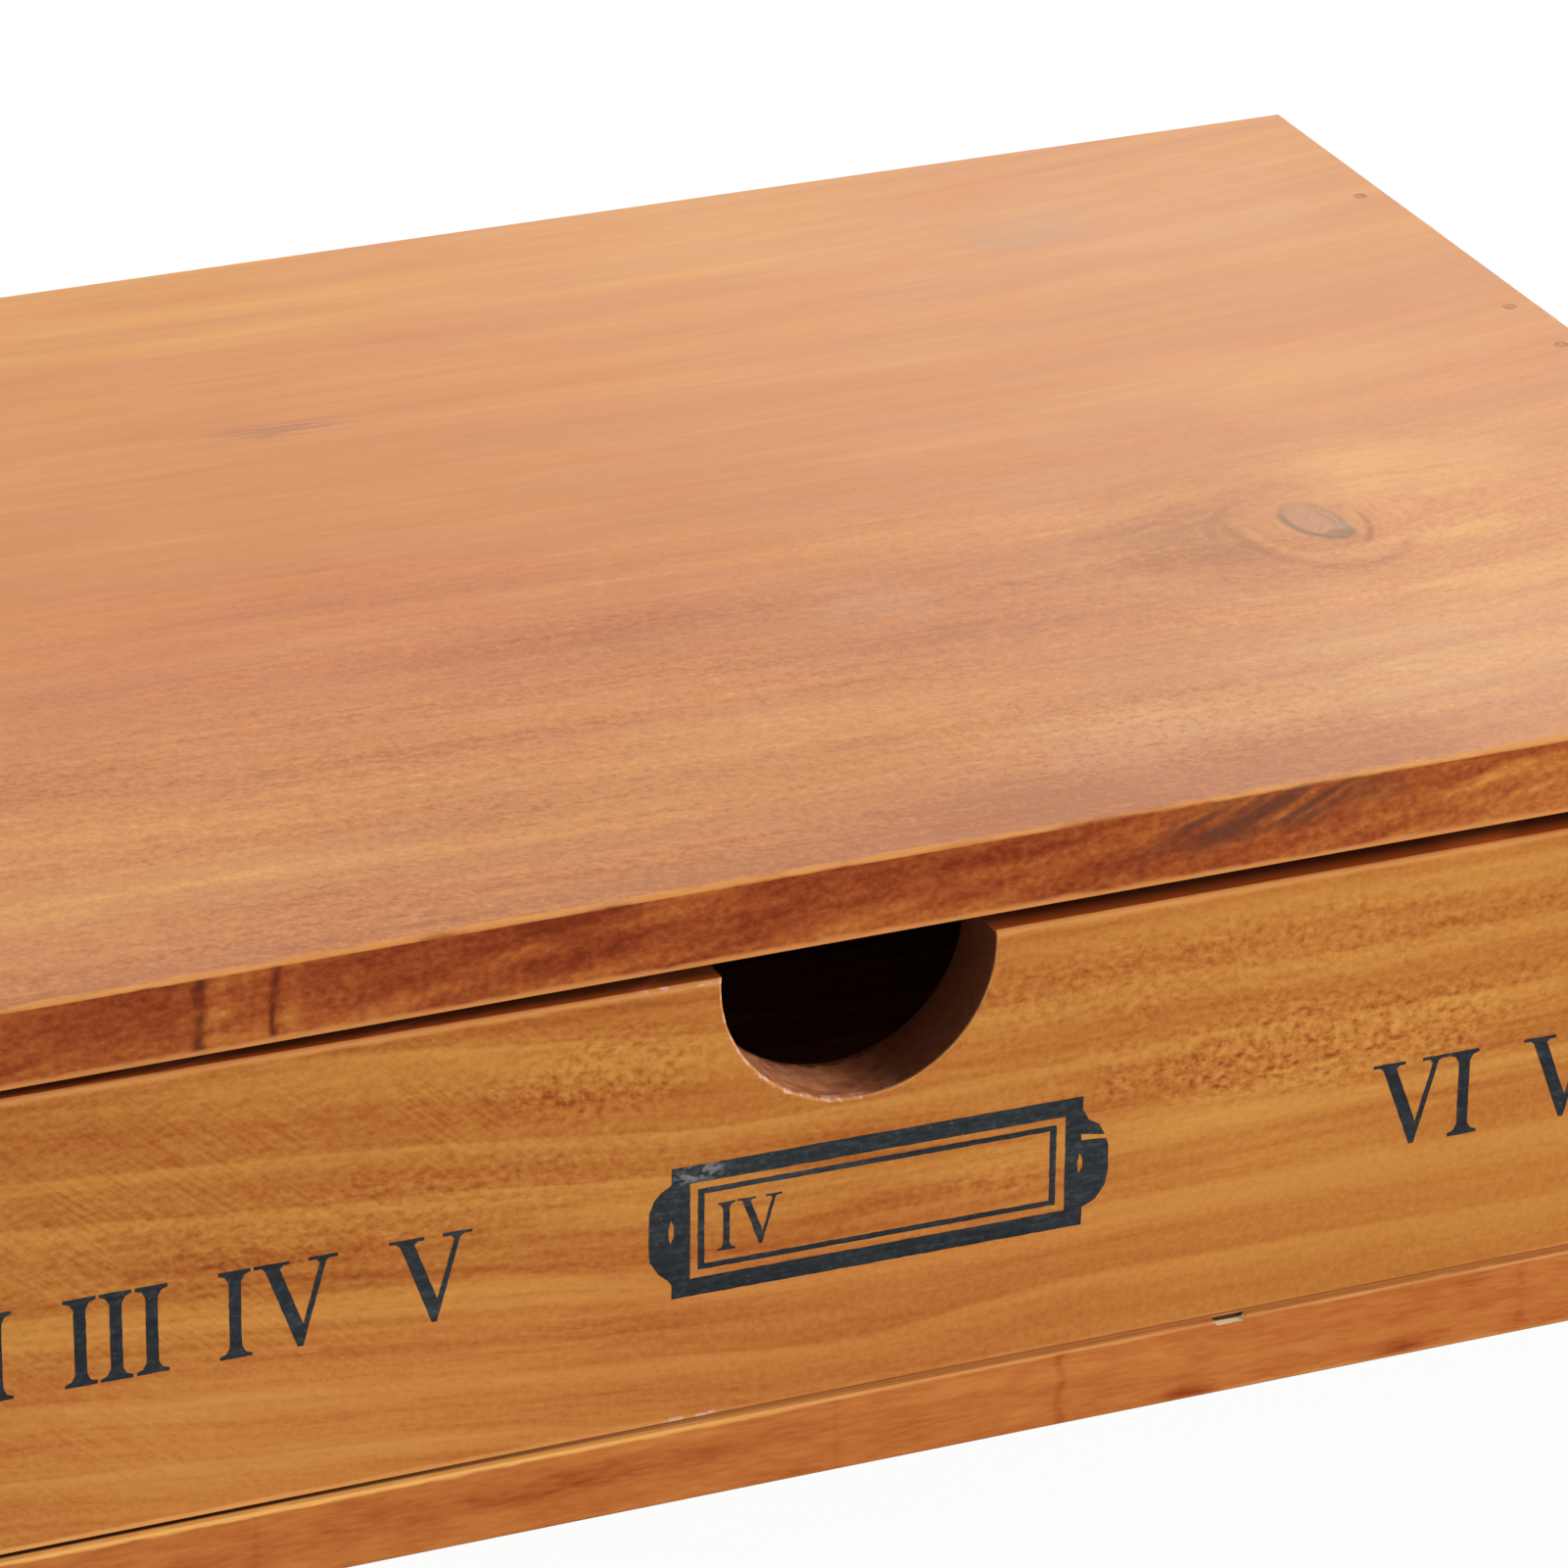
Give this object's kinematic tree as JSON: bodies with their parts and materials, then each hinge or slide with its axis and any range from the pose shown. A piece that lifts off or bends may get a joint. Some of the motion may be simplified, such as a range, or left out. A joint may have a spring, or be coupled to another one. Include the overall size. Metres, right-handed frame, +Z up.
{
  "type": "desktop drawer organizer",
  "caption": "Low stained-wood desk box with a single inset drawer pulled out by a round finger notch, made of nailed boards with a flat top.",
  "frame": {"origin": "middle of the bottom board's underside, on the table", "axes": "+X along the width, -Y is the front where the drawer opens, +Z up"},
  "size_m": [0.306, 0.21, 0.08],
  "materials": {
    "stained_softwood": "orange-brown stain under satin wax",
    "stained_drawer_wood": "golden-brown stain under satin wax",
    "drawer_box_wood": "thin stain, matte",
    "drawer_plywood": "thin stain, matte",
    "brad_steel": "dulled by stain",
    "print_ink": "slate-black ink, worn thin"
  },
  "bodies": {
    "case": {"top_board": "stained_softwood", "bottom_board": "stained_softwood", "left_side_board": "stained_softwood", "right_side_board": "stained_softwood", "back_panel": "stained_softwood", "top_board_brads": "brad_steel", "bottom_board_brads": "brad_steel", "back_panel_brads": "brad_steel"},
    "drawer": {"drawer_front": "stained_drawer_wood", "drawer_left_side": "drawer_box_wood", "drawer_right_side": "drawer_box_wood", "drawer_back": "drawer_box_wood", "drawer_floor": "drawer_plywood", "drawer_front_brads": "brad_steel", "drawer_back_brads": "brad_steel", "drawer_floor_brads": "brad_steel"}
  },
  "joints": [
    {"name": "drawer_slide", "type": "slide", "parent": "case", "child": "drawer", "axis": [0, -1, 0], "range_m": [0, 0.15]}
  ]
}
